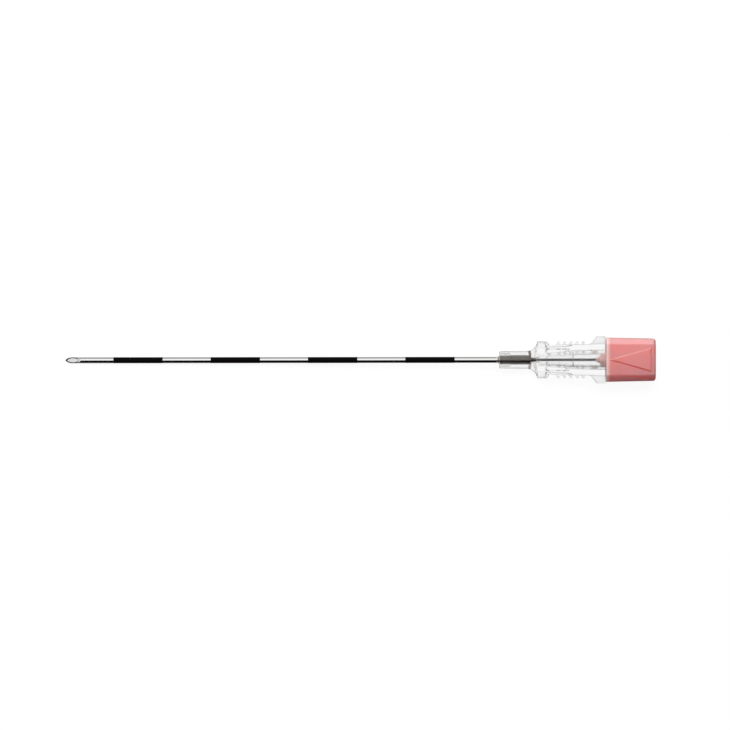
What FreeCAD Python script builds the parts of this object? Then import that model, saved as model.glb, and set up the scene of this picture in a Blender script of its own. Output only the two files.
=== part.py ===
import FreeCAD, Part
import Sketcher
import math
import os
import re

# Spinal needle, 18 gauge by 90 mm, with its stylet in place.
# The frame: the origin is on the needle's axis, in the nose face of the hub.
# +X runs along the axis to the cap, the point lies at -X, and the bevel opens to +Z.

doc = FreeCAD.newDocument("SpinalNeedle")
sheet = doc.addObject("Spreadsheet::Sheet", "Dims")

SIZES = [
    # cannula
    ("cannula_outer_dia", 1.2, "18 gauge tube"),
    ("cannula_inner_dia", 0.86, "lumen of the thin-walled tube"),
    ("needle_length", 89.3, "hub nose face to the point"),
    ("cannula_seat_depth", 6.6, "tube inside the hub, from the nose face"),
    ("bevel_length", 2.98, "main grind, heel to point"),
    ("side_grind_turn", 25.0, "degrees each side grind is turned about the axis"),
    ("side_grind_angle", 31.9, "degrees of each side grind to the axis"),
    # printed depth marks, one each second centimetre of this length
    ("band_first_centre", 15.0, "point to the middle of the first mark"),
    ("band_last_centre", 14.3, "hub nose face to the middle of the last mark"),
    ("band_length", 10.15, "length of a mark"),
    ("band_thickness", 0.02, "thickness of the marking coat"),
    # stylet wire
    ("stylet_clearance", 0.03, "radial gap between the wire and the lumen"),
    ("stylet_in_cap", 6.0, "length of wire moulded into the cap"),
    # nose of the hub
    ("nose_tip_dia", 3.5, "nose at its face"),
    ("nose_root_dia", 3.66, "nose at its root"),
    ("nose_length", 5.9, "nose face to the start of the cove"),
    ("nose_edge", 0.25, "round at the nose face"),
    ("cove_length", 1.85, "cove from the nose up to the flange"),
    ("cove_radius", 2.6, "hollow of the cove"),
    ("flange_lip", 0.25, "short face between the cove and the flange's rim"),
    ("flange_edge", 0.12, "round of the rim's front edge"),
    # finger flange
    ("flange_dia", 7.62, "finger flange"),
    ("flange_thickness", 1.75, "rim of the flange"),
    ("flange_back_length", 0.7, "rounded back of the flange, along the axis"),
    ("flange_back_radius", 1.0, "round of the flange's back"),
    # grip body
    ("hub_length", 21.65, "nose face to the mouth"),
    ("hub_depth", 5.8, "front flat to back flat"),
    ("grip_front_height", 6.04, "body behind the flange"),
    ("grip_back_height", 6.7, "body at the mouth"),
    ("grip_corner", 0.55, "round of the body's long edges"),
    # recess in the front flat and in the back flat
    ("recess_width", 4.64, "recess across the flat"),
    ("recess_straight", 4.6, "straight part of the recess"),
    ("recess_taper", 1.1, "tapered end of the recess"),
    ("recess_end_width", 3.0, "recess at its tapered end"),
    ("recess_depth", 0.6, "recess below the flat"),
    ("recess_draft", 24.0, "degrees, by which the walls of the recess lean"),
    # grip teeth on the two edges
    ("tooth_start", 2.55, "back of the flange's rim to the middle of the first tooth"),
    ("tooth_pitch", 1.27, "tooth to tooth"),
    ("tooth_span", 7.55, "across the crests of opposite teeth"),
    ("tooth_base", 0.85, "tooth at its root"),
    ("tooth_crest", 0.28, "tooth where its crest begins to round"),
    ("tooth_crest_radius", 0.18, "round of the crest"),
    ("tooth_lean", 0.12, "steep flank of a tooth, root to crest"),
    ("tooth_root", 0.25, "tooth sunk in the body"),
    ("tooth_width", 2.5, "tooth from front to back"),
    # lugs of the locking mouth
    ("lug_length", 1.6, "lug, from the mouth to the top of its ramp"),
    ("lug_ramp_length", 0.95, "ramp of the lug, along the axis"),
    ("lug_ramp_height", 1.25, "ramp of the lug, outwards"),
    ("lug_foot_length", 0.9, "hollow at the foot of the ramp, along the axis"),
    ("lug_foot_radius", 1.15, "hollow at the foot of the ramp"),
    ("lug_foot_root", 0.13, "end of that hollow, inwards from the body's side at the mouth"),
    ("lug_span", 9.7, "across both lugs"),
    ("lug_depth", 4.0, "lug from front to back"),
    # bore of the hub, from the mouth down to the nose
    ("luer_mouth_dia", 4.3, "conical socket at its mouth"),
    ("luer_taper", 0.06, "loss of diameter for each millimetre of depth"),
    ("luer_depth", 8.15, "depth of the conical socket"),
    ("chamber_back_dia", 3.5, "flow chamber below the socket"),
    ("chamber_front_dia", 2.7, "flow chamber at its far end"),
    ("funnel_length", 1.1, "funnel from the chamber to the throat"),
    ("throat_length", 0.5, "throat between the funnel and the tube's end"),
    ("throat_step", 0.1, "ledge that stops the tube, inwards from its wall"),
    ("seat_clearance", 0.01, "radial bond gap round the tube"),
    ("well_gap", 0.35, "adhesive well in the nose face, outwards from the tube"),
    ("well_depth", 2.2, "depth of the adhesive well"),
    ("meniscus_length", 0.6, "adhesive that stands out of the well"),
    ("meniscus_end", 0.03, "adhesive where it ends on the tube"),
    # cap of the stylet
    ("cap_gap", 0.25, "hub mouth to the cap's front face"),
    ("cap_length", 10.13, "length of the cap"),
    ("cap_front_height", 9.08, "cap at its front face, lug to lug"),
    ("cap_front_depth", 7.0, "cap at its front face, front to back"),
    ("cap_draft", 1.15, "degrees, so that the cap narrows to its end"),
    ("cap_chamfer", 1.3, "bevels along the four long edges"),
    ("cap_crown", 40.0, "radius of the slight crown of the front and of the back"),
    ("cap_round", 0.6, "rounds of those bevels and of the cap's end"),
    # plug that fills the mouth of the socket
    ("plug_clearance", 0.03, "radial gap between the plug and the socket"),
    ("plug_length", 1.25, "plug, from the cap's front face"),
    ("plug_nose_dia", 2.4, "foot of the plug's nose"),
    ("plug_nose_length", 0.85, "nose of the plug, round the wire"),
    ("plug_nose_wall", 0.15, "plug round the wire where its nose ends"),
    # raised arrow on the front of the cap
    ("arrow_start", 0.03, "cap's front face to the arrow's point"),
    ("arrow_length", 9.27, "arrow from point to base"),
    ("arrow_width", 5.15, "base of the arrow"),
    ("arrow_height", 0.34, "arrow above the cap"),
    ("arrow_root", 0.1, "arrow sunk in the cap"),
    ("arrow_draft", 36.0, "degrees, by which the arrow's sides lean"),
]

for row, (alias, value, note) in enumerate(SIZES, 1):
    sheet.set("A%d" % row, alias.replace("_", " "))
    sheet.set("B%d" % row, str(value))
    sheet.set("C%d" % row, note)
    sheet.setAlias("B%d" % row, alias)
NAMES = {alias for alias, value, note in SIZES}
doc.recompute()


def sized(text):
    """An expression on the sheet's names, with each name led to its cell."""
    return re.sub(r"[a-z]\w*", lambda w: "Dims." + w[0] if w[0] in NAMES else w[0], text)


def value_of(text):
    return float(sheet.evalExpression(sized(text)))


def new_body(label):
    body = doc.addObject("PartDesign::Body", label)
    body.Label = label
    return body


def base_plane(body, role):
    return next(f for f in body.Origin.OriginFeatures if f.Role == role)


def arc_between(start, end, radius):
    """The short arc of this radius, with the way it runs. A negative radius bulges to the right."""
    middle = (start + end) * 0.5
    chord = end - start
    half = chord.Length / 2
    away = math.sqrt(max(radius * radius - half * half, 0.0))
    left = FreeCAD.Vector(-chord.y, chord.x, 0).normalize()
    centre = middle + left * (away if radius < 0 else -away)
    circle = Part.Circle(centre, FreeCAD.Vector(0, 0, 1), abs(radius))
    first = math.atan2(start.y - centre.y, start.x - centre.x)
    last = math.atan2(end.y - centre.y, end.x - centre.x)
    forward = radius < 0
    if not forward:
        first, last = last, first
    if last < first:
        last += 2 * math.pi
    return Part.ArcOfCircle(circle, first, last), forward


def outline(body, name, role, loops, raised=None, turned=None, about=(1, 0, 0)):
    """A sketch of closed loops. A corner is (x, y), or (x, y, radius) where an arc leads to it."""
    sketch = body.newObject("Sketcher::SketchObject", name)
    sketch.AttachmentSupport = [(base_plane(body, role), "")]
    sketch.MapMode = "FlatFace"
    if turned:
        turn = FreeCAD.Rotation(FreeCAD.Vector(*about), value_of(turned))
        sketch.AttachmentOffset = FreeCAD.Placement(FreeCAD.Vector(), turn)
    if raised:
        sketch.setExpression("AttachmentOffset.Base.z", sized(raised))
    number = 0
    for loop in loops:
        points = [FreeCAD.Vector(value_of(c[0]), value_of(c[1]), 0) for c in loop]
        first = sketch.GeometryCount
        ends = []
        for i, corner in enumerate(loop):
            nxt = loop[(i + 1) % len(loop)]
            start, end = points[i], points[(i + 1) % len(loop)]
            if len(nxt) == 3:
                arc, forward = arc_between(start, end, value_of(nxt[2]))
                sketch.addGeometry(arc, False)
                ends.append((1, 2) if forward else (2, 1))
            else:
                sketch.addGeometry(Part.LineSegment(start, end), False)
                ends.append((1, 2))
        for i in range(len(loop)):
            j = (i + 1) % len(loop)
            sketch.addConstraint(
                Sketcher.Constraint("Coincident", first + i, ends[i][1], first + j, ends[j][0])
            )
        for i, corner in enumerate(loop):
            spot = (first + i, ends[i][0])
            for kind, axis, text, at in (
                ("DistanceX", -2, corner[0], points[i].x),
                ("DistanceY", -1, corner[1], points[i].y),
            ):
                if text == "0":
                    sketch.addConstraint(Sketcher.Constraint("PointOnObject", spot[0], spot[1], axis))
                    continue
                size = sketch.addConstraint(
                    Sketcher.Constraint(kind, -1, 1, spot[0], spot[1], at)
                )
                label = "corner%d%s" % (number, kind[-1])
                sketch.renameConstraint(size, label)
                sketch.setExpression("Constraints." + label, sized(text))
            if len(corner) == 3:
                before = first + (i - 1) % len(loop)
                text = corner[2].lstrip("-")
                size = sketch.addConstraint(
                    Sketcher.Constraint("Radius", before, abs(value_of(corner[2])))
                )
                label = "round%d" % number
                sketch.renameConstraint(size, label)
                sketch.setExpression("Constraints." + label, sized(text))
            number += 1
    return sketch


def add(body, feature):
    """Makes a feature the end of its body, and stops where it fails."""
    body.Tip = feature
    doc.recompute()
    if "Invalid" in feature.State or "Error" in feature.State or feature.Shape.isNull():
        raise RuntimeError(feature.Label + " did not build")
    return feature


def turned_feature(body, kind, name, sketch):
    feature = body.newObject("PartDesign::" + kind, name)
    feature.Profile = sketch
    feature.ReferenceAxis = (sketch, ["H_Axis"])
    feature.Angle = 360
    before = body.Shape.Volume if kind == "Groove" else 0.0
    add(body, feature)
    if kind == "Groove" and body.Shape.Volume >= before - 1e-9:
        raise RuntimeError(name + " cuts nothing")
    return feature


def prism(body, kind, name, sketch, length, both_ways=True, reversed_way=False, draft=None):
    """A pad or pocket. A draft makes it narrower toward its end."""
    feature = body.newObject("PartDesign::" + kind, name)
    feature.Profile = sketch
    if draft:
        feature.setExpression("TaperAngle", sized("- " + draft))
    feature.SideType = "Symmetric" if both_ways else "One side"
    feature.Reversed = reversed_way
    feature.setExpression("Length", sized(length))
    before = body.Shape.Volume if kind == "Pocket" else 0.0
    add(body, feature)
    if kind == "Pocket" and body.Shape.Volume >= before - 1e-9:
        raise RuntimeError(name + " cuts nothing")
    return feature


def dress(body, kind, name, size, chosen):
    """A fillet or chamfer on the edges of the body's shape that the test picks."""
    base = body.Tip
    edges = ["Edge%d" % (i + 1) for i, e in enumerate(base.Shape.Edges) if chosen(e)]
    if not edges:
        raise RuntimeError(name + " finds no edge")
    feature = body.newObject("PartDesign::" + kind, name)
    feature.Base = (base, edges)
    feature.setExpression("Radius" if kind == "Fillet" else "Size", sized(size))
    return add(body, feature)


TUBE = "( cannula_outer_dia / 2 )"
BEVEL_SLOPE = "( cannula_outer_dia / bevel_length )"
OVERRUN = "( cannula_outer_dia / 2 )"


def main_grind(body):
    """The long bevel, from the point on the underside up to the heel."""
    low = ("- needle_length - " + OVERRUN, "- " + TUBE + " - " + OVERRUN + " * " + BEVEL_SLOPE)
    high = (
        "- needle_length + bevel_length + " + OVERRUN,
        TUBE + " + " + OVERRUN + " * " + BEVEL_SLOPE,
    )
    bevel = outline(body, "MainGrindProfile", "XZ_Plane", [[low, high, (low[0], high[1])]])
    prism(body, "Pocket", "MainGrind", bevel, "4 * cannula_outer_dia")


def side_grind(body, name, turn):
    """One of the two short grinds that sharpen the point, turned about the axis."""
    slope = "tan(side_grind_angle)"
    foot = "( - " + TUBE + " * cos(side_grind_turn) )"
    low = ("- needle_length - " + OVERRUN, foot + " - " + OVERRUN + " * " + slope)
    high = (
        "- needle_length + 2 * cannula_outer_dia / " + slope,
        foot + " + 2 * cannula_outer_dia",
    )
    short = outline(body, name + "Profile", "XZ_Plane", [[low, high, (low[0], high[1])]], turned=turn)
    prism(body, "Pocket", name, short, "4 * cannula_outer_dia")


# Cannula: a drawn tube, ground to a cutting point.
cannula = new_body("cannula")
tube_profile = outline(
    cannula,
    "TubeProfile",
    "XY_Plane",
    [
        [
            ("- needle_length", "cannula_inner_dia / 2"),
            ("cannula_seat_depth", "cannula_inner_dia / 2"),
            ("cannula_seat_depth", "cannula_outer_dia / 2"),
            ("- needle_length", "cannula_outer_dia / 2"),
        ]
    ],
)
turned_feature(cannula, "Revolution", "Tube", tube_profile)
main_grind(cannula)
side_grind(cannula, "LeftGrind", "side_grind_turn")
side_grind(cannula, "RightGrind", "- side_grind_turn")

# Depth marks: four thin coats round the tube, evenly spaced and counted from the point.
bands = []
BAND_PITCH = "( ( needle_length - band_first_centre - band_last_centre ) / 3 )"
for mark in range(4):
    band = new_body("depth_band_%d" % (mark + 1))
    middle = "- needle_length + band_first_centre + %d * %s" % (mark, BAND_PITCH)
    band_profile = outline(
        band,
        "CoatProfile%d" % (mark + 1),
        "XY_Plane",
        [
            [
                (middle + " - band_length / 2", "cannula_outer_dia / 2"),
                (middle + " + band_length / 2", "cannula_outer_dia / 2"),
                (middle + " + band_length / 2", "cannula_outer_dia / 2 + band_thickness"),
                (middle + " - band_length / 2", "cannula_outer_dia / 2 + band_thickness"),
            ]
        ],
    )
    turned_feature(band, "Revolution", "Coat%d" % (mark + 1), band_profile)
    bands.append(band)

# Stylet wire: fills the lumen and is ground flush with the cannula's point.
WIRE = "( cannula_inner_dia / 2 - stylet_clearance )"
CAP_FRONT = "( hub_length + cap_gap )"
wire = new_body("stylet_wire")
wire_profile = outline(
    wire,
    "WireProfile",
    "XY_Plane",
    [
        [
            ("- needle_length", "0"),
            (CAP_FRONT + " + stylet_in_cap", "0"),
            (CAP_FRONT + " + stylet_in_cap", WIRE),
            ("- needle_length", WIRE),
        ]
    ],
)
turned_feature(wire, "Revolution", "Wire", wire_profile)
main_grind(wire)

# Hub: one clear moulding, with the needle's nose, a finger flange, a grip and a locking mouth.
hub = new_body("hub")
COVE_END = "( nose_length + cove_length )"
FLANGE_BACK = "( nose_length + cove_length + flange_thickness )"

# The grip body widens a little towards the mouth.
grip_profile = outline(
    hub,
    "GripProfile",
    "XY_Plane",
    [
        [
            (FLANGE_BACK, "- grip_front_height / 2"),
            ("hub_length", "- grip_back_height / 2"),
            ("hub_length", "grip_back_height / 2"),
            (FLANGE_BACK, "grip_front_height / 2"),
        ]
    ],
)
prism(hub, "Pad", "GripBody", grip_profile, "hub_depth")


def long_grip_edge(edge):
    """The four edges that run along the grip, which are longer than all others."""
    ends = [v.Point for v in edge.Vertexes]
    return max(p.x for p in ends) - min(p.x for p in ends) > value_of("hub_length - " + FLANGE_BACK) / 2


dress(hub, "Fillet", "GripCorners", "grip_corner", long_grip_edge)

# The nose, the cove and the finger flange are turned forms.
nose_profile = outline(
    hub,
    "NoseProfile",
    "XY_Plane",
    [
        [
            ("0", "0"),
            (FLANGE_BACK + " + flange_back_length", "0"),
            (FLANGE_BACK + " + flange_back_length", "grip_front_height / 2"),
            (FLANGE_BACK, "flange_dia / 2", "- flange_back_radius"),
            (COVE_END + " + flange_edge", "flange_dia / 2"),
            (COVE_END, "flange_dia / 2 - flange_edge", "- flange_edge"),
            (COVE_END, "flange_dia / 2 - flange_lip"),
            ("nose_length", "nose_root_dia / 2", "cove_radius"),
            ("nose_edge", "nose_tip_dia / 2"),
            ("0", "nose_tip_dia / 2 - nose_edge", "- nose_edge"),
        ]
    ],
)
turned_feature(hub, "Revolution", "NoseAndFlange", nose_profile)

# The front and back of the flange are cut to the flats of the grip body.
flat_profile = outline(
    hub,
    "FlatProfile",
    "XZ_Plane",
    [
        [
            ("nose_length", side + " hub_depth / 2"),
            ("hub_length", side + " hub_depth / 2"),
            ("hub_length", side + " flange_dia"),
            ("nose_length", side + " flange_dia"),
        ]
        for side in ("", "-")
    ],
)
prism(hub, "Pocket", "FlangeFlats", flat_profile, "2 * flange_dia")

# Two lugs with ramps, for a locking syringe.
RAMP_TOP = "( hub_length - lug_length )"
HOLLOW_TOP = "( hub_length - lug_length - lug_ramp_length )"
RAMP_FOOT = "( hub_length - lug_length - lug_ramp_length - lug_foot_length )"
lug_profile = outline(
    hub,
    "LugProfile",
    "XY_Plane",
    [
        [
            (RAMP_FOOT, "- ( grip_back_height / 2 - lug_foot_root )"),
            (HOLLOW_TOP, "- ( lug_span / 2 - lug_ramp_height )", "lug_foot_radius"),
            (RAMP_TOP, "- lug_span / 2"),
            ("hub_length", "- lug_span / 2"),
            ("hub_length", "lug_span / 2"),
            (RAMP_TOP, "lug_span / 2"),
            (HOLLOW_TOP, "lug_span / 2 - lug_ramp_height"),
            (RAMP_FOOT, "grip_back_height / 2 - lug_foot_root", "lug_foot_radius"),
        ]
    ],
)
prism(hub, "Pad", "Lugs", lug_profile, "lug_depth")

# A row of grip teeth on each edge, as far as the lugs, with their slanted flanks to the point.
TOOTH_FRONT = "( " + FLANGE_BACK + " + tooth_start - tooth_base / 2 )"
TOOTH_BACK = "( " + FLANGE_BACK + " + tooth_start + tooth_base / 2 )"
CREST_RISE = "( tooth_crest_radius - sqrt(tooth_crest_radius ^ 2 - ( tooth_crest / 2 ) ^ 2) )"
CREST_FOOT = " ( tooth_span / 2 - " + CREST_RISE + " )"
tooth_profile = outline(
    hub,
    "ToothProfile",
    "XY_Plane",
    [
        [
            (TOOTH_FRONT, side + " grip_front_height / 2"),
            (TOOTH_FRONT, side + " ( grip_front_height / 2 - tooth_root )"),
            (TOOTH_BACK, side + " ( grip_front_height / 2 - tooth_root )"),
            (TOOTH_BACK, side + " grip_front_height / 2"),
            (TOOTH_BACK + " - tooth_lean", side + CREST_FOOT),
            (TOOTH_BACK + " - tooth_lean - tooth_crest", side + CREST_FOOT, bulge + "tooth_crest_radius"),
        ]
        for side, bulge in (("", "- "), ("-", ""))
    ],
)
tooth = prism(hub, "Pad", "Tooth", tooth_profile, "tooth_width")
teeth = hub.newObject("PartDesign::LinearPattern", "Teeth")
teeth.Originals = [tooth]
teeth.Direction = (tooth_profile, ["H_Axis"])
teeth.Mode = "Spacing"
teeth.Occurrences = 1 + int(value_of("( " + RAMP_FOOT + " - " + TOOTH_BACK + " ) / tooth_pitch"))
teeth.setExpression("Offset", sized("tooth_pitch"))
add(hub, teeth)

# The window: a shallow recess in each flat.
recess_profile = outline(
    hub,
    "RecessProfile",
    "XY_Plane",
    [
        [
            (FLANGE_BACK, "- recess_width / 2"),
            (FLANGE_BACK + " + recess_straight", "- recess_width / 2"),
            (FLANGE_BACK + " + recess_straight + recess_taper", "- recess_end_width / 2"),
            (FLANGE_BACK + " + recess_straight + recess_taper", "recess_end_width / 2"),
            (FLANGE_BACK + " + recess_straight", "recess_width / 2"),
            (FLANGE_BACK, "recess_width / 2"),
        ]
    ],
    raised="hub_depth / 2",
)
recess = prism(
    hub,
    "Pocket",
    "FrontRecess",
    recess_profile,
    "recess_depth",
    both_ways=False,
    draft="recess_draft",
)
both = hub.newObject("PartDesign::Mirrored", "BackRecess")
both.Originals = [recess]
both.MirrorPlane = (base_plane(hub, "XY_Plane"), [""])
before_mirror = hub.Shape.Volume
add(hub, both)
if hub.Shape.Volume >= before_mirror - 1e-6:
    raise RuntimeError("the back recess cuts nothing")

# The bore: the conical socket, the flow chamber, the funnel, the tube's seat and the well.
SOCKET_END = "( hub_length - luer_depth )"
FUNNEL_END = "( cannula_seat_depth + throat_length )"
SEAT = "( cannula_outer_dia / 2 + seat_clearance )"
THROAT = "( cannula_outer_dia / 2 - throat_step )"
WELL = "( cannula_outer_dia / 2 + well_gap )"
bore_profile = outline(
    hub,
    "BoreProfile",
    "XY_Plane",
    [
        [
            ("0", "0"),
            ("hub_length", "0"),
            ("hub_length", "luer_mouth_dia / 2"),
            (SOCKET_END, "( luer_mouth_dia - luer_taper * luer_depth ) / 2"),
            (SOCKET_END, "chamber_back_dia / 2"),
            (FUNNEL_END + " + funnel_length", "chamber_front_dia / 2"),
            (FUNNEL_END, THROAT),
            ("cannula_seat_depth", THROAT),
            ("cannula_seat_depth", SEAT),
            ("well_depth", SEAT),
            ("well_depth", WELL),
            ("0", WELL),
        ]
    ],
)
turned_feature(hub, "Groove", "Bore", bore_profile)

# Adhesive: fills the well round the tube and stands out of it in a small hollow fillet.
glue = new_body("hub_adhesive")
glue_profile = outline(
    glue,
    "AdhesiveProfile",
    "XY_Plane",
    [
        [
            ("- meniscus_length", "cannula_outer_dia / 2"),
            ("well_depth", "cannula_outer_dia / 2"),
            ("well_depth", WELL),
            ("0", WELL),
            ("- meniscus_length", "cannula_outer_dia / 2 + meniscus_end", "meniscus_length"),
        ]
    ],
)
turned_feature(glue, "Revolution", "Adhesive", glue_profile)

# Cap: a drafted block with bevelled long edges, moulded round the end of the wire.
cap = new_body("stylet_cap")
TALL = "cap_front_height / 2"
HALF_FACE = "( cap_front_height / 2 - cap_chamfer )"
DEEP = "( cap_front_depth / 2 - ( cap_crown - sqrt(cap_crown ^ 2 - " + HALF_FACE + " ^ 2) ) )"
cap_profile = outline(
    cap,
    "CapProfile",
    "YZ_Plane",
    [
        [
            ("- " + TALL + " + cap_chamfer", "- " + DEEP),
            (TALL + " - cap_chamfer", "- " + DEEP, "- cap_crown"),
            (TALL, "- " + DEEP + " + cap_chamfer"),
            (TALL, DEEP + " - cap_chamfer"),
            (TALL + " - cap_chamfer", DEEP),
            ("- " + TALL + " + cap_chamfer", DEEP, "- cap_crown"),
            ("- " + TALL, DEEP + " - cap_chamfer"),
            ("- " + TALL, "- " + DEEP + " + cap_chamfer"),
        ]
    ],
    raised=CAP_FRONT,
)
block = cap.newObject("PartDesign::Pad", "CapBlock")
block.Profile = cap_profile
block.SideType = "One side"
block.setExpression("Length", sized("cap_length"))
block.setExpression("TaperAngle", sized("- cap_draft"))
add(cap, block)


def rounded_cap_edge(edge):
    """The long edges and the edges of the end: all but those of the front face."""
    front = value_of(CAP_FRONT)
    return not all(abs(v.Point.x - front) < 1e-4 for v in edge.Vertexes)


dress(cap, "Fillet", "CapRounds", "cap_round", rounded_cap_edge)

# The plug follows the taper of the hub's socket, and its nose holds the wire.
PLUG_FOOT = "( " + CAP_FRONT + " - plug_length )"


def plug_radius(at):
    """Half the plug at this place on the axis, which is inside the socket's cone."""
    return "( luer_mouth_dia / 2 - luer_taper / 2 * ( hub_length - " + at + " ) - plug_clearance )"


plug_profile = outline(
    cap,
    "PlugProfile",
    "XY_Plane",
    [
        [
            (PLUG_FOOT + " - plug_nose_length", "0"),
            (CAP_FRONT + " + cap_round", "0"),
            (CAP_FRONT + " + cap_round", plug_radius("hub_length")),
            ("hub_length", plug_radius("hub_length")),
            (PLUG_FOOT, plug_radius(PLUG_FOOT)),
            (PLUG_FOOT, "plug_nose_dia / 2"),
            (PLUG_FOOT + " - plug_nose_length", WIRE + " + plug_nose_wall"),
        ]
    ],
)
turned_feature(cap, "Revolution", "Plug", plug_profile)

# The arrow points to the needle and shows the side on which the bevel opens.
ARROW_POINT = "( " + CAP_FRONT + " + arrow_start )"
ARROW_BASE = "( " + CAP_FRONT + " + arrow_start + arrow_length )"
arrow_profile = outline(
    cap,
    "ArrowProfile",
    "XY_Plane",
    [
        [
            (ARROW_POINT, "0"),
            (ARROW_BASE, "- arrow_width / 2"),
            (ARROW_BASE, "arrow_width / 2"),
        ]
    ],
    raised="cap_front_depth / 2 - arrow_root + " + CAP_FRONT + " * tan(cap_draft)",
    turned="cap_draft",
    about=(0, 1, 0),
)
prism(
    cap,
    "Pad",
    "Arrow",
    arrow_profile,
    "arrow_root + arrow_height",
    both_ways=False,
    draft="arrow_draft",
)

# The seat of the wire in the cap.
wire_seat_profile = outline(
    cap,
    "WireSeatProfile",
    "XY_Plane",
    [
        [
            (PLUG_FOOT + " - plug_nose_length", "0"),
            (CAP_FRONT + " + stylet_in_cap", "0"),
            (CAP_FRONT + " + stylet_in_cap", WIRE),
            (PLUG_FOOT + " - plug_nose_length", WIRE),
        ]
    ],
)
turned_feature(cap, "Groove", "WireSeat", wire_seat_profile)

doc.recompute()
for thing in doc.Objects:
    if "Invalid" in thing.State or "Error" in thing.State:
        raise RuntimeError(thing.Label + " did not build")

os.makedirs("parts", exist_ok=True)
for piece in [cannula] + bands + [hub, glue, wire, cap]:
    shape = piece.Shape
    if shape.isNull() or not shape.isValid():
        raise RuntimeError(piece.Label + " has no valid shape")
    shape.exportStep("parts/" + piece.Label + ".step")
    box = shape.BoundBox
    print(
        "%-14s solids %d volume %.4f x %.3f %.3f y %.3f %.3f z %.3f %.3f"
        % (
            piece.Label,
            len(shape.Solids),
            shape.Volume,
            box.XMin,
            box.XMax,
            box.YMin,
            box.YMax,
            box.ZMin,
            box.ZMax,
        )
    )
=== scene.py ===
import math

import bmesh
import bpy
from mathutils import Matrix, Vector


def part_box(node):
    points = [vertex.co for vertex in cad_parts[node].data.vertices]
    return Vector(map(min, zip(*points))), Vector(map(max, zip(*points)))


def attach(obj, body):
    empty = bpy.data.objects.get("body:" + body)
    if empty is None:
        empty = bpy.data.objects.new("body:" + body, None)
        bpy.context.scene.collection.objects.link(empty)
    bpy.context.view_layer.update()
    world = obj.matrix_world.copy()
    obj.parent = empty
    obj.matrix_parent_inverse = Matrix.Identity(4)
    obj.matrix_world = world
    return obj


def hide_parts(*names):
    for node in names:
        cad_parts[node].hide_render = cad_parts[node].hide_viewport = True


# Spinal needle with its stylet, as it lies on a white table: the point at -X, the cap at +X.
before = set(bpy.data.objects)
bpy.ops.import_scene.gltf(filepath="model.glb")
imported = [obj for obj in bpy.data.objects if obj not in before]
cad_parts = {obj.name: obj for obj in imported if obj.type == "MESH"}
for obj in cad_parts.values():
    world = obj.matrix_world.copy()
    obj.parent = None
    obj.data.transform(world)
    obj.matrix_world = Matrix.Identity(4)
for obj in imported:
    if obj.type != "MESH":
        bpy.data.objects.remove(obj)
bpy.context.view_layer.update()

MM = 0.001
SCENE = bpy.context.scene

# Camera: a long lens straight above the needle, with the photograph's frame across.
PHOTO_WIDTH = 150.1 * MM
LENS = 300.0
SENSOR = 36.0
LOOK_AT = Vector((-27.65 * MM, -1.03 * MM, 0.0))
ROLL = -0.001
eye = bpy.data.cameras.new("camera")
eye.lens, eye.sensor_width = LENS, SENSOR
eye.clip_start, eye.clip_end = 0.01, 10.0
camera = bpy.data.objects.new("camera", eye)
camera.location = LOOK_AT + Vector((0.0, 0.0, PHOTO_WIDTH * LENS / SENSOR))
camera.rotation_euler.z = ROLL
SCENE.collection.objects.link(camera)
SCENE.camera = camera
SCENE.view_settings.view_transform = "Standard"


class Signal:
    """A socket's output, so that shader sums are written as plain arithmetic."""

    def __init__(self, shader, socket):
        self.shader, self.socket = shader, socket

    def math(self, operation, *values):
        return self.shader.node("ShaderNodeMath", dict(enumerate(values)), operation=operation)

    def __add__(self, other):
        return self.math("ADD", self, other)

    def __sub__(self, other):
        return self.math("SUBTRACT", self, other)

    def __rsub__(self, other):
        return self.math("SUBTRACT", other, self)

    def __mul__(self, other):
        return self.math("MULTIPLY", self, other)

    def __abs__(self):
        return self.math("ABSOLUTE", self)

    __radd__, __rmul__ = __add__, __mul__

    def step(self, start, end):
        """0 up to start and 1 from end on, with a soft change between them."""
        inputs = {"Value": self, "From Min": start, "From Max": end}
        return self.shader.node("ShaderNodeMapRange", inputs, interpolation_type="SMOOTHSTEP")


class Shader:
    """The node tree of a material or of the world."""

    def __init__(self, owner):
        owner.use_nodes = True
        self.tree = owner.node_tree
        self.tree.nodes.clear()

    def node(self, kind, inputs=None, output=0, **settings):
        made = self.tree.nodes.new(kind)
        for setting, value in settings.items():
            setattr(made, setting, value)
        for name, value in (inputs or {}).items():
            if isinstance(value, Signal):
                self.tree.links.new(value.socket, made.inputs[name])
            else:
                made.inputs[name].default_value = value
        return Signal(self, made.outputs[output]) if made.outputs else None

    def mix(self, factor, first, second):
        """Between two colours, by a factor."""
        first, second = (c if isinstance(c, Signal) else (*c, 1.0) for c in (first, second))
        inputs = {0: factor, 6: first, 7: second}
        return self.node("ShaderNodeMix", inputs, output=2, data_type="RGBA")

    def place(self, scale=(1.0, 1.0, 1.0)):
        """Where a point is in the needle's frame, in millimetres, stretched by a scale."""
        at = self.node("ShaderNodeTexCoord", output="Object")
        inputs = {0: at, 1: [s / MM for s in scale]}
        return self.node("ShaderNodeVectorMath", inputs, operation="MULTIPLY")

    def axis(self, vector, name):
        return self.node("ShaderNodeSeparateXYZ", {0: vector}, output=name)

    def noise(self, scale, detail=2.0):
        """Cloudy noise, with this many features to a millimetre along each axis."""
        inputs = {"Vector": self.place(scale), "Scale": 1.0, "Detail": detail}
        return self.node("ShaderNodeTexNoise", inputs)

    def bump(self, height, depth):
        """A normal from a height between 0 and 1, whose full height is a depth in millimetres."""
        return self.node("ShaderNodeBump", {"Height": height, "Distance": depth * MM})

    def surface(self, shader, kind="ShaderNodeOutputMaterial"):
        self.node(kind, {"Surface": shader})

    def principled(self, inputs):
        self.surface(self.node("ShaderNodeBsdfPrincipled", inputs))


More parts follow.
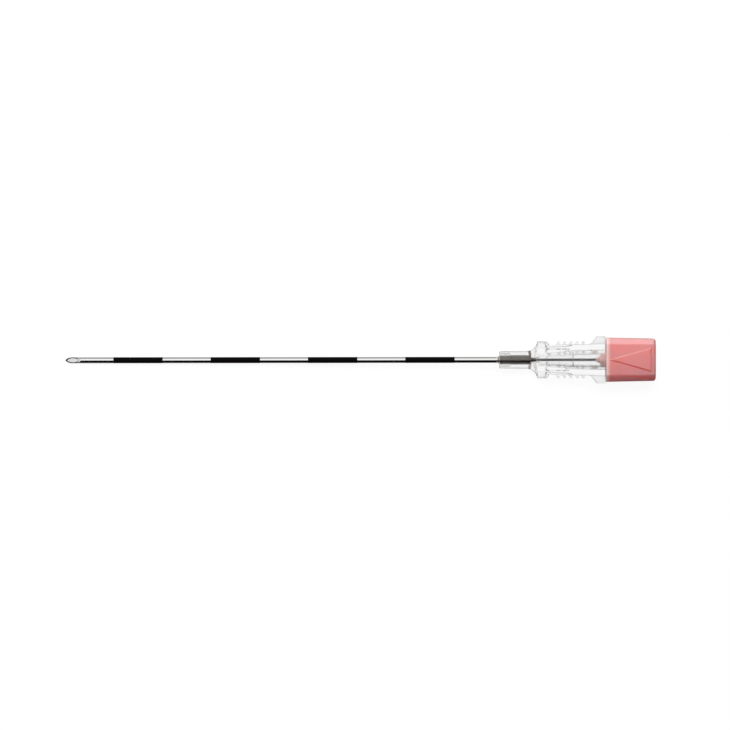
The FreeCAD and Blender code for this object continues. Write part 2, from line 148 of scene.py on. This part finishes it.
def new_material(name):
    material = bpy.data.materials.new(name)
    return material, Shader(material)


# The end of a drawn piece where it lies in the hub, darkened there with painted shade: its darkest
# grain, its roughness and the depth of its grain.
SHADED_END_GRAIN = 0.45
SHADED_END_ROUGHNESS = 0.28
SHADED_END_BUMP = 4.0


def steel(name, clean, painted_shade, shade_from):
    """Drawn stainless steel. From a place along the axis on, in millimetres, where it lies in the
    clear hub, its colour is darkened with painted shade, and it is rougher, with a grain."""
    material, s = new_material(name)
    lines = s.noise((0.04, 26.0, 26.0), detail=3.0)
    clouds = s.noise((0.35, 1.5, 1.5))
    colour = s.mix(lines * 0.6 + clouds * 0.4, [c * 0.93 for c in clean], clean)
    roughness = 0.05 + lines * 0.06 + clouds * 0.03
    in_shade = s.axis(s.place(), "X").step(shade_from, shade_from + 0.06)
    grain = s.noise((16.0, 16.0, 16.0), detail=4.0)
    # Painted shade: a darker, grainy colour where the end lies in the hub.
    shade_grain = s.mix(grain, [c * SHADED_END_GRAIN for c in painted_shade], painted_shade)
    colour = s.mix(in_shade, colour, shade_grain)
    roughness = roughness * (1.0 - in_shade) + in_shade * SHADED_END_ROUGHNESS
    height = lines * (1.0 - in_shade) + grain * in_shade * SHADED_END_BUMP
    s.principled({
        "Base Color": colour,
        "Metallic": 1.0,
        "Roughness": roughness,
        "Normal": s.bump(height, 0.0006),
    })
    return material


# Where the painted highlight on the heel of the point's grind begins, in millimetres along the
# axis.
HEEL_HIGHLIGHT_FROM = -86.4


def ground_steel(name, colour, heel_highlight, roughness):
    """The ground faces of the point, with the marks of the wheel across them, and a paler heel,
    which is a painted highlight.
    """
    material, s = new_material(name)
    marks = s.noise((34.0, 1.2, 1.2), detail=4.0)
    on_heel_highlight = s.axis(s.place(), "X").step(HEEL_HIGHLIGHT_FROM - 0.5, HEEL_HIGHLIGHT_FROM)
    ground = s.mix(marks, [c * 0.8 for c in colour], colour)
    s.principled({
        "Base Color": s.mix(on_heel_highlight, ground, heel_highlight),
        "Metallic": 1.0,
        "Roughness": roughness + marks * 0.16,
        "Normal": s.bump(marks, 0.002),
    })
    return material


def mark_ink():
    """Baked black marking ink: matt, with a fine grain."""
    material, s = new_material("black_mark_ink")
    grain = s.noise((22.0, 22.0, 22.0), detail=3.0)
    clouds = s.noise((0.8, 2.0, 2.0))
    patches = grain * 0.5 + clouds * 0.5
    s.principled({
        "Base Color": s.mix(patches, (0.0015, 0.001, 0.001), (0.004, 0.0028, 0.0026)),
        "Roughness": 0.5 + grain * 0.2,
        "Specular IOR Level": 0.06,
        "Normal": s.bump(grain, 0.002),
    })
    return material


# How far from the axis the hub's flange, teeth and lugs stand, from and to, in millimetres.
GRIP = (3.3, 3.5)


def clear_moulding():
    """Clear plastic with faint flow waves, duller on the flange, the teeth and the lugs."""
    material, s = new_material("clear_plastic")
    flow = s.noise((0.25, 0.7, 0.7))
    grip = abs(s.axis(s.place(), "Y")).step(*GRIP)
    s.principled({
        "Base Color": s.mix(flow, (0.985, 0.988, 0.988), (0.995, 0.996, 0.996)),
        "Roughness": 0.18 + flow * 0.06 + grip * 0.24,
        "Normal": s.bump(flow, 0.012),
        "Transmission Weight": 1.0,
        "IOR": 1.49,
    })
    return material


def clear_adhesive():
    """Clear adhesive, faintly yellow, with a cloudy surface."""
    material, s = new_material("clear_adhesive")
    clouds = s.noise((1.5, 1.5, 1.5))
    s.principled({
        "Base Color": s.mix(clouds, (0.93, 0.925, 0.89), (0.975, 0.97, 0.945)),
        "Roughness": 0.01 + clouds * 0.03,
        "Normal": s.bump(clouds, 0.02),
        "Transmission Weight": 1.0,
        "IOR": 1.51,
    })
    return material


# Where the cap changes from its thin plug and front edge, painted paler as painted light, to
# its block, in millimetres along the axis.
GLOW_TO_BLOCK = (21.8, 22.9)


def cap_moulding():
    """Pink translucent plastic with a fine spark-eroded texture, painted paler on its thin plug
    and front edge as painted light.
    """
    material, s = new_material("pink_moulding")
    grain = s.noise((9.0, 9.0, 9.0), detail=4.0)
    flow = s.noise((0.18, 0.4, 0.4), detail=3.0)
    clouds = flow * 0.7 + grain * 0.3
    finish = {
        "Roughness": 0.4 + grain * 0.12,
        "Normal": s.bump(grain, 0.006),
        "Specular IOR Level": 1.0,
    }
    block = s.node("ShaderNodeBsdfPrincipled", {
        **finish,
        "Base Color": s.mix(clouds, (0.7, 0.235, 0.232), (0.74, 0.257, 0.254)),
        "Subsurface Weight": 1.0,
        "Subsurface Radius": (1.0, 0.1, 0.06),
        "Subsurface Scale": 7.0 * MM,
    })
    # Painted light: a paler pink on the plug and the front edge, where light glows through.
    painted_glow = s.node("ShaderNodeBsdfPrincipled", {
        **finish,
        "Base Color": s.mix(clouds, (0.9, 0.56, 0.53), (0.94, 0.6, 0.57)),
        "Subsurface Weight": 0.3,
        "Subsurface Radius": (1.0, 0.5, 0.4),
        "Subsurface Scale": 0.5 * MM,
    })
    in_block = s.axis(s.place(), "X").step(*GLOW_TO_BLOCK)
    s.surface(s.node("ShaderNodeMixShader", {0: in_block, 1: painted_glow, 2: block}))
    return material


# Studio. Toward +Y all is pale, and a black screen stands on the other side. It shows in
# the steel and in the clear hub, and not to the camera, which sees plain white.
SCREEN_LEAN = math.radians(9.0)
SCREEN_EDGE = 0.03
# What gloss mirrors: overhead, round the needle, and in the screen.
WHITE, GREY, BLACK = 1.2, 0.37, 0.004
# What shows through the clear plastic: overhead, round the needle, on the table toward
# -Y, where painted shade darkens it, and in the screen.
IN_GLASS, ROUND_GLASS, DARK_GLASS, UNLIT_GLASS = 0.97, 0.95, 0.75, 0.06
# How much stronger that is for light which reaches a matt surface inside the hub.
LIT_THROUGH_GLASS = 2.6
# Where the sky turns from round to overhead, as a share of straight up.
OVERHEAD = (0.42, 0.58)
AMBIENT = 0.1


def ray(s, kind):
    """1 on a camera, diffuse, glossy or transmission ray, and 0 on the others."""
    return s.node("ShaderNodeLightPath", output="Is " + kind + " Ray")


def mirrored_in(s, in_gloss, in_glass):
    """1 on rays off gloss or through glass, and what each of the two kinds sees."""
    through = ray(s, "Transmission")
    either = through.math("MAXIMUM", ray(s, "Glossy"), through)
    return either, in_gloss * (1.0 - through) + in_glass * through


world = bpy.data.worlds.new("studio")
SCENE.world = world
s = Shader(world)
direction = s.node("ShaderNodeTexCoord", output="Generated")
across, up = s.axis(direction, "Y"), s.axis(direction, "Z")
off_screen = across * math.cos(SCREEN_LEAN) + up * math.sin(SCREEN_LEAN)
white_side = off_screen.step(-SCREEN_EDGE, SCREEN_EDGE)
overhead = up.step(*OVERHEAD)
in_gloss = (GREY + overhead * (WHITE - GREY)) * white_side + BLACK
unscreened = ROUND_GLASS + overhead * (IN_GLASS - ROUND_GLASS)
in_glass = unscreened * (UNLIT_GLASS + white_side * (1.0 - UNLIT_GLASS))
bounces = s.node("ShaderNodeLightPath", output="Diffuse Depth")
from_matt = bounces.math("MINIMUM", bounces, 1.0)
in_glass = in_glass * (1.0 + from_matt * (LIT_THROUGH_GLASS - 1.0))
mirrored, seen = mirrored_in(s, in_gloss, in_glass)
strength = ray(s, "Camera") + ray(s, "Diffuse") * AMBIENT + mirrored * seen
s.surface(s.node("ShaderNodeBackground", {"Strength": strength}), "ShaderNodeOutputWorld")

# Table: level but for the slight fall from the needle's point down to the cap's lower edge.
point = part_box("cannula")[0]
cap_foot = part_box("stylet_cap")[0]
NEEDLE_LENGTH = 89.3 * MM
CAP_FRONT = 22.0 * MM
POINT_FOOT = Vector((-NEEDLE_LENGTH, 0.0, point.z))
CAP_FOOT = Vector((CAP_FRONT, 0.0, cap_foot.z))
FALL_START, FALL_END = POINT_FOOT.x - 6 * MM, CAP_FOOT.x + 16 * MM
HALF_TABLE = 1.5
fall = (CAP_FOOT.z - POINT_FOOT.z) / (CAP_FOOT.x - POINT_FOOT.x)
stations = []
for x in (-HALF_TABLE, FALL_START, FALL_END, HALF_TABLE):
    along = min(max(x, FALL_START), FALL_END)
    stations.append((x, POINT_FOOT.z + fall * (along - POINT_FOOT.x)))
corners = [(x, y, z) for x, z in stations for y in (-HALF_TABLE, HALF_TABLE)]
quads = [(2 * i, 2 * i + 2, 2 * i + 3, 2 * i + 1) for i in range(len(stations) - 1)]
top = bpy.data.meshes.new("table")
top.from_pydata(corners, [], quads)
table = bpy.data.objects.new("table", top)
SCENE.collection.objects.link(table)

# The table is plain white to the camera but for a soft shadow, and white or black to
# gloss by side, as the studio is. Through the clear plastic it shows painted shade toward -Y.
# Places across it are in millimetres.
SHADED, BOUNCE = 0.08, 0.22
PLAIN_WHITE = 1.02
UNDER_TABLE = 0.1
SIDE_EDGE = 0.6
FAR_SHADE, UNDER = (-9.0, -3.0), (-10.0, -1.0)
paper, s = new_material("white_table")
across = s.axis(s.place(), "Y")
white_side = across.step(-SIDE_EDGE, SIDE_EDGE)
shaded_far = 1.0 - across.step(*FAR_SHADE)
under = across.step(*UNDER) * (1.0 - white_side)
in_gloss = BLACK + under * UNDER_TABLE + white_side * GREY
# Painted shade: seen through the clear plastic, the table is darker toward -Y.
in_glass = IN_GLASS + shaded_far * (DARK_GLASS - IN_GLASS)
mirrored, seen = mirrored_in(s, in_gloss, in_glass)
to_camera = ray(s, "Camera") * (PLAIN_WHITE - SHADED)
lit = s.node("ShaderNodeBsdfDiffuse", {"Color": (SHADED, SHADED, SHADED, 1.0)})
plain = s.node("ShaderNodeEmission", {"Strength": to_camera + ray(s, "Diffuse") * BOUNCE})
open_air = s.node("ShaderNodeAddShader", {0: lit, 1: plain})
mirror = s.node("ShaderNodeEmission", {"Strength": seen})
s.surface(s.node("ShaderNodeMixShader", {0: mirrored, 1: open_air, 2: mirror}))
top.materials.append(paper)


def soft_light(name, size, energy, place, lean):
    """A rectangular light, which shines straight down but for its lean away from +Y."""
    light = bpy.data.lights.new(name, "AREA")
    light.shape = "RECTANGLE"
    light.size, light.size_y = size
    light.energy = energy
    lamp = bpy.data.objects.new(name, light)
    lamp.location = place
    lamp.rotation_euler = (-lean, 0.0, 0.0)
    SCENE.collection.objects.link(lamp)
    return lamp


# Key light: a large soft box above the needle, leaning to +Y.
KEY_LEAN = math.radians(26.0)
KEY_AWAY = 0.9
KEY_SIZE, KEY_ENERGY = (0.7, 0.5), 9.7
key_place = LOOK_AT + KEY_AWAY * Vector((0.0, math.sin(KEY_LEAN), math.cos(KEY_LEAN)))
key = soft_light("soft_box", KEY_SIZE, KEY_ENERGY, key_place, KEY_LEAN)
key.visible_camera = key.visible_glossy = key.visible_transmission = False

# Rim light: a low strip beyond the cap, whose gloss alone shows, on the cap's upper bevel.
# It lights the cap and nothing else.
RIM_AWAY, RIM_HEIGHT = 0.5, 0.06
RIM_SIZE, RIM_ENERGY = (0.5, 0.24), 2.8
RIM_LEAN = math.atan2(RIM_AWAY, RIM_HEIGHT)
rim_place = (CAP_FOOT.x, RIM_AWAY, RIM_HEIGHT)
rim = soft_light("rim_strip", RIM_SIZE, RIM_ENERGY, rim_place, RIM_LEAN)
rim.visible_camera = rim.visible_diffuse = rim.visible_transmission = False
lit_by_rim = bpy.data.collections.new("lit_by_rim")
lit_by_rim.objects.link(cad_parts["stylet_cap"])
rim.light_linking.receiver_collection = lit_by_rim

# Turned and ground pieces, as loops of points round the X axis.
AROUND = 96
SHARP = math.radians(28.0)


def loop(radius, x):
    """Points round the axis. Their place along it is a number, or a function of y and z."""
    points = []
    for i in range(AROUND):
        turn = 2 * math.pi * i / AROUND
        y, z = radius * math.sin(turn), radius * math.cos(turn)
        points.append((x(y, z) if callable(x) else x, y, z))
    return points


def skin(name, loops, materials, painted=(), ends=()):
    """A piece from loops, each joined to the next one, and the last to the first unless it
    has ends. Painted gives the loops after which the second material shows, and ends the
    loops that a flat face closes, each with its material."""
    vertices = [p for points in loops for p in points]
    faces, which = [], []
    for i in range(len(loops) if not ends else len(loops) - 1):
        j = (i + 1) % len(loops)
        for k in range(AROUND):
            n = (k + 1) % AROUND
            faces.append((i * AROUND + k, i * AROUND + n, j * AROUND + n, j * AROUND + k))
            which.append(1 if i in painted else 0)
    for i, material in ends:
        ring = range(i * AROUND, (i + 1) * AROUND)
        faces.append(tuple(ring) if i else tuple(reversed(ring)))
        which.append(material)
    mesh = bpy.data.meshes.new(name)
    mesh.from_pydata(vertices, [], faces)
    mesh.polygons.foreach_set("material_index", which)
    mesh.polygons.foreach_set("use_smooth", [True] * len(faces))
    form = bmesh.new()
    form.from_mesh(mesh)
    bmesh.ops.recalc_face_normals(form, faces=form.faces)
    form.to_mesh(mesh)
    form.free()
    mesh.set_sharp_from_angle(angle=SHARP)
    for material in materials:
        mesh.materials.append(material)
    piece = bpy.data.objects.new(name, mesh)
    SCENE.collection.objects.link(piece)
    return piece


# The point's grinds, as the place along the axis where each plane cuts a line of the tube.
TUBE = 0.6 * MM
LUMEN = 0.43 * MM
WIRE = 0.4 * MM
BEVEL_LENGTH = 3.25 * MM
SIDE_TURN = math.radians(25.0)
SIDE_SLOPE = math.tan(math.radians(31.9))
tip = point.x


def main_grind(y, z):
    return tip + (z + TUBE) * BEVEL_LENGTH / (2 * TUBE)


def all_grinds(y, z):
    cuts = [main_grind(y, z)]
    for turn in (SIDE_TURN, -SIDE_TURN):
        height = z * math.cos(turn) + y * math.sin(turn)
        cuts.append(tip + (height + TUBE * math.cos(turn)) / SIDE_SLOPE)
    return max(cuts)


# Steels of the two pieces. Where the tube's end lies in the nose and the wire's in the hub, their
# colour is darkened with painted shade.
# A paler heel on the ground faces of both pieces: a painted highlight.
PAINTED_HEEL_HIGHLIGHT = (0.93, 0.925, 0.92)
tube_steel = steel("drawn_tube_steel", (0.96, 0.95, 0.94), (0.25, 0.232, 0.205), 0.2)
wire_steel = steel("drawn_wire_steel", (0.7, 0.69, 0.68), (0.16, 0.15, 0.14), 6.3)
# The tube's ground faces are painted nearly black: painted shade for the dark they mirror.
ground_tube_shaded = ground_steel("ground_tube_steel", (0.09, 0.088, 0.086), PAINTED_HEEL_HIGHLIGHT, 0.26)
ground_wire = ground_steel("ground_wire_steel", (0.9, 0.895, 0.89), PAINTED_HEEL_HIGHLIGHT, 0.1)

# Tube: a little thicker in its seat, and ground across its wall at the point.
SEAT = 0.655 * MM
SEAT_SHOULDER = 0.05 * MM
HEEL = tip + BEVEL_LENGTH + 0.2 * MM
WELL_END = 2.2 * MM
OUTSIDE_NOSE = -0.3 * MM
WALL_STEPS = 3
seat_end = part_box("cannula")[1].x
outside = [
    loop(LUMEN, seat_end),
    loop(SEAT, seat_end),
    loop(SEAT, WELL_END),
    loop(TUBE, WELL_END - SEAT_SHOULDER),
    loop(TUBE, OUTSIDE_NOSE),
    loop(TUBE, HEEL),
]
wall = [TUBE + (LUMEN - TUBE) * i / WALL_STEPS for i in range(WALL_STEPS + 1)]
tube = skin(
    "cannula_tube",
    [*outside, *[loop(r, all_grinds) for r in wall], loop(LUMEN, HEEL)],
    [tube_steel, ground_tube_shaded],
    painted=range(len(outside), len(outside) + WALL_STEPS),
)
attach(tube, "needle")
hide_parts("cannula")

# Wire: a rod ground flush with the tube, its end in the cap.
wire_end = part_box("stylet_wire")[1].x
wire = skin(
    "stylet_rod",
    [loop(WIRE, wire_end), loop(WIRE, HEEL), loop(WIRE, main_grind)],
    [wire_steel, ground_wire],
    ends=((0, 0), (2, 1)),
)
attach(wire, "stylet")
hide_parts("stylet_wire")

# Depth marks: thin rings of ink with soft ends. Ink and adhesive reach a hair into the
# tube, so that no gap shows.
SUNK = TUBE - 0.004 * MM
INK_EDGE = TUBE + 0.003 * MM
SOFT_END = 0.03 * MM
MARKS = 4
ink = mark_ink()
for i in range(1, MARKS + 1):
    low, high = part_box("depth_band_%d" % i)
    coat = high.z
    ring = skin(
        "ink_ring_%d" % i,
        [
            loop(SUNK, low.x),
            loop(INK_EDGE, low.x),
            loop(coat, low.x + SOFT_END),
            loop(coat, high.x - SOFT_END),
            loop(INK_EDGE, high.x),
            loop(SUNK, high.x),
        ],
        [ink],
    )
    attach(ring, "needle")
    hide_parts("depth_band_%d" % i)

# Adhesive: it wets the well's wall, so it reaches a hair into it, and it ends in a
# hollow fillet.
WELL = 0.95 * MM
WETTED = 0.004 * MM
FILLET = 0.6 * MM
FILLET_END = 0.63 * MM
FILLET_STEPS = 8
fillet = []
for i in range(FILLET_STEPS + 1):
    share = i / FILLET_STEPS
    radius = FILLET_END + (WELL + WETTED - FILLET_END) * (1 - math.cos(share * math.pi / 2))
    fillet.append(loop(radius, -FILLET * (1 - math.sin(share * math.pi / 2))))
glue = skin(
    "adhesive_bead",
    [
        loop(SUNK, -FILLET),
        *fillet,
        loop(WELL + WETTED, WELL_END + WETTED),
        loop(SUNK, WELL_END + WETTED),
    ],
    [clear_adhesive()],
)
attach(glue, "needle")
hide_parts("hub_adhesive")

# The mouldings keep their own meshes, with these materials.
for node, material in (("hub", clear_moulding()), ("stylet_cap", cap_moulding())):
    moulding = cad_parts[node]
    for slot in moulding.material_slots:
        slot.material = material
